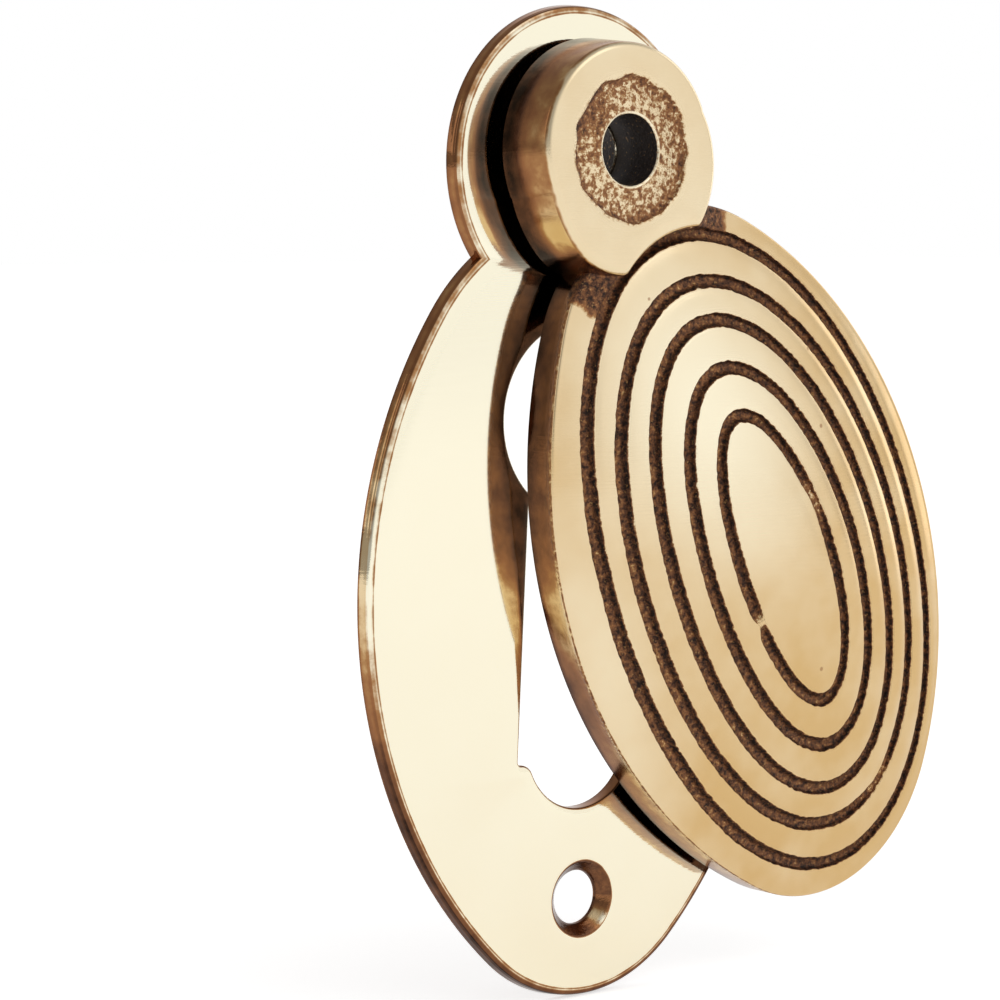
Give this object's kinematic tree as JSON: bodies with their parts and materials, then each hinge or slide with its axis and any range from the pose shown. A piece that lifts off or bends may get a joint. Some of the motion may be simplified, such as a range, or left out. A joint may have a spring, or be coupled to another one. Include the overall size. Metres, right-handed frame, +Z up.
{
  "type": "keyhole escutcheon",
  "caption": "Oval backplate with a round top lobe and a keyhole, covered by a domed, ring-grooved oval cover that swings on a round boss",
  "frame": {"origin": "on the hinge axis, where it meets the back face of the backplate", "axes": "+Z up the plate, +Y into the door behind the plate, +X to the right of someone facing the front"},
  "size_m": [0.0545, 0.0088, 0.075],
  "materials": {
    "plate_brass": "polished, aged at the edges",
    "cover_brass": "polished ridges, dark patina in the grooves"
  },
  "bodies": {
    "plate": {"backplate": "plate_brass"},
    "cover": {"cover": "cover_brass"}
  },
  "joints": [
    {"name": "cover_swing", "type": "hinge", "parent": "plate", "child": "cover", "pos_m": [0, 0, 0], "axis": [0, -1, 0], "continuous": true}
  ]
}
